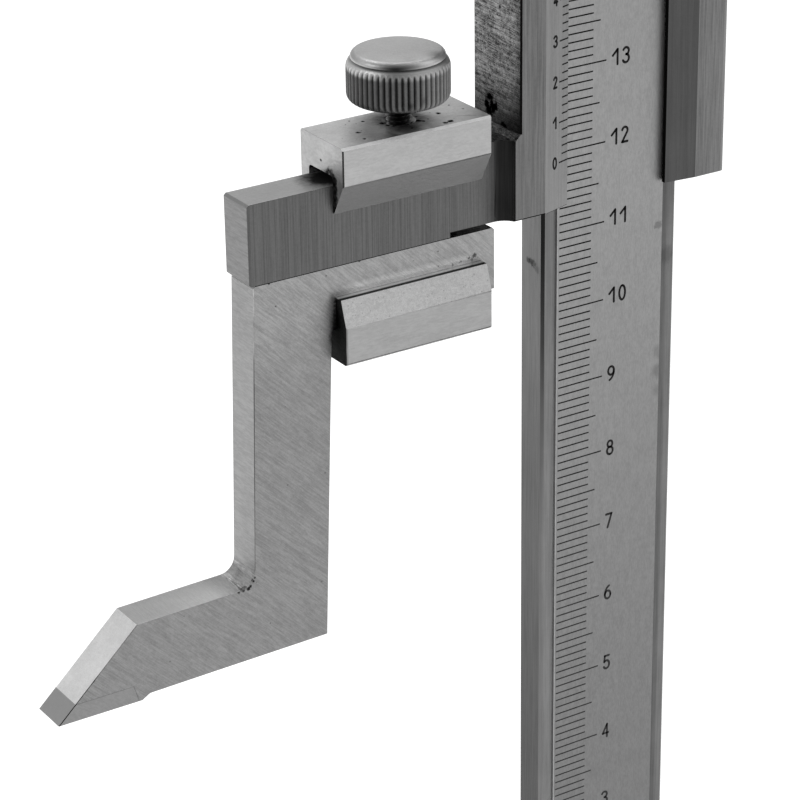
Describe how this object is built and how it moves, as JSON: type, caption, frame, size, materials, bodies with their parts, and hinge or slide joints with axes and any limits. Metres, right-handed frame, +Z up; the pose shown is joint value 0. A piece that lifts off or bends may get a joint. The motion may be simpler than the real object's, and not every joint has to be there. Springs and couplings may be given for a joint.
{
  "type": "height gauge",
  "caption": "Vernier height gauge: base, graduated beam, slider with arm and vernier, fine-feed carriage, clamped offset scriber with a carbide edge.",
  "frame": {"origin": "point of the resting face of the base below the beam's centre line and the graduated face", "axes": "+Z up along the beam, +X along the arm from the scriber towards the beam, +Y from the reader's side to the back"},
  "size_m": [0.1621, 0.066, 0.446],
  "materials": {
    "base_steel": "ground and satin chromed",
    "beam_steel": "ground along its length",
    "scale_chrome": "matt chrome with filled black graduations",
    "slider_steel": "ground steel with a raw left side",
    "clamp_steel": "fine milled steel",
    "scriber_steel": "surface-ground hardened steel",
    "carbide": "ground carbide",
    "knob_steel": "turned and knurled, matt",
    "screw_steel": "plain machined steel",
    "gib_bronze": "rolled bronze strip"
  },
  "bodies": {
    "stand": {"base": "base_steel", "beam": "beam_steel", "main_scale": "scale_chrome", "scale_screws": "screw_steel", "retaining_plate": "base_steel", "plate_screws": "screw_steel", "beam_pins": "screw_steel", "top_stop": "slider_steel", "stop_screw": "screw_steel"},
    "fine_carriage": {"carriage": "slider_steel", "carriage_gib": "gib_bronze"},
    "carriage_lock": {"carriage_lock_screw": "knob_steel"},
    "fine_nut": {"feed_nut": "knob_steel"},
    "slide": {"slider": "slider_steel", "slider_gib": "gib_bronze", "gib_screws": "screw_steel", "feed_screw": "screw_steel", "feed_pin": "screw_steel"},
    "slider_lock": {"slider_lock_screw": "knob_steel"},
    "scriber_clamp": {"clamp_frame": "clamp_steel"},
    "clamp_knob": {"clamp_screw": "knob_steel"},
    "marker": {"scriber": "scriber_steel", "scriber_tip": "carbide"}
  },
  "joints": [
    {"name": "carriage_travel", "type": "slide", "parent": "stand", "child": "fine_carriage", "axis": [0, 0, 1], "range_m": [-0.11606, 0.17794]},
    {"name": "fine_feed", "type": "slide", "parent": "fine_carriage", "child": "slide", "axis": [0, 0, 1], "range_m": [-0.003, 0.003]},
    {"name": "fine_nut_spin", "type": "hinge", "parent": "fine_carriage", "child": "fine_nut", "pos_m": [0, 0.01565, 0.24876], "axis": [0, 0, 1], "range_deg": [-1545, 1545]},
    {"name": "carriage_lock_spin", "type": "hinge", "parent": "fine_carriage", "child": "carriage_lock", "pos_m": [0.0154, 0.0026, 0.24876], "axis": [1, 0, 0], "range_deg": [-180, 0]},
    {"name": "slider_lock_spin", "type": "hinge", "parent": "slide", "child": "slider_lock", "pos_m": [0.0154, 0.0026, 0.19976], "axis": [1, 0, 0], "range_deg": [-180, 0]},
    {"name": "clamp_slide", "type": "slide", "parent": "slide", "child": "scriber_clamp", "axis": [1, 0, 0], "range_m": [-0.01, 0.0005]},
    {"name": "clamp_knob_spin", "type": "hinge", "parent": "scriber_clamp", "child": "clamp_knob", "pos_m": [-0.02805, 0.00255, 0.18], "axis": [0, 0, 1], "range_deg": [0, 360]},
    {"name": "scriber_slide", "type": "slide", "parent": "scriber_clamp", "child": "marker", "axis": [1, 0, 0], "range_m": [-0.008, 0.0003]}
  ],
  "couplings": [
    {"joint": "fine_nut_spin", "follows": "fine_feed", "rad_per_m": 8976}
  ]
}
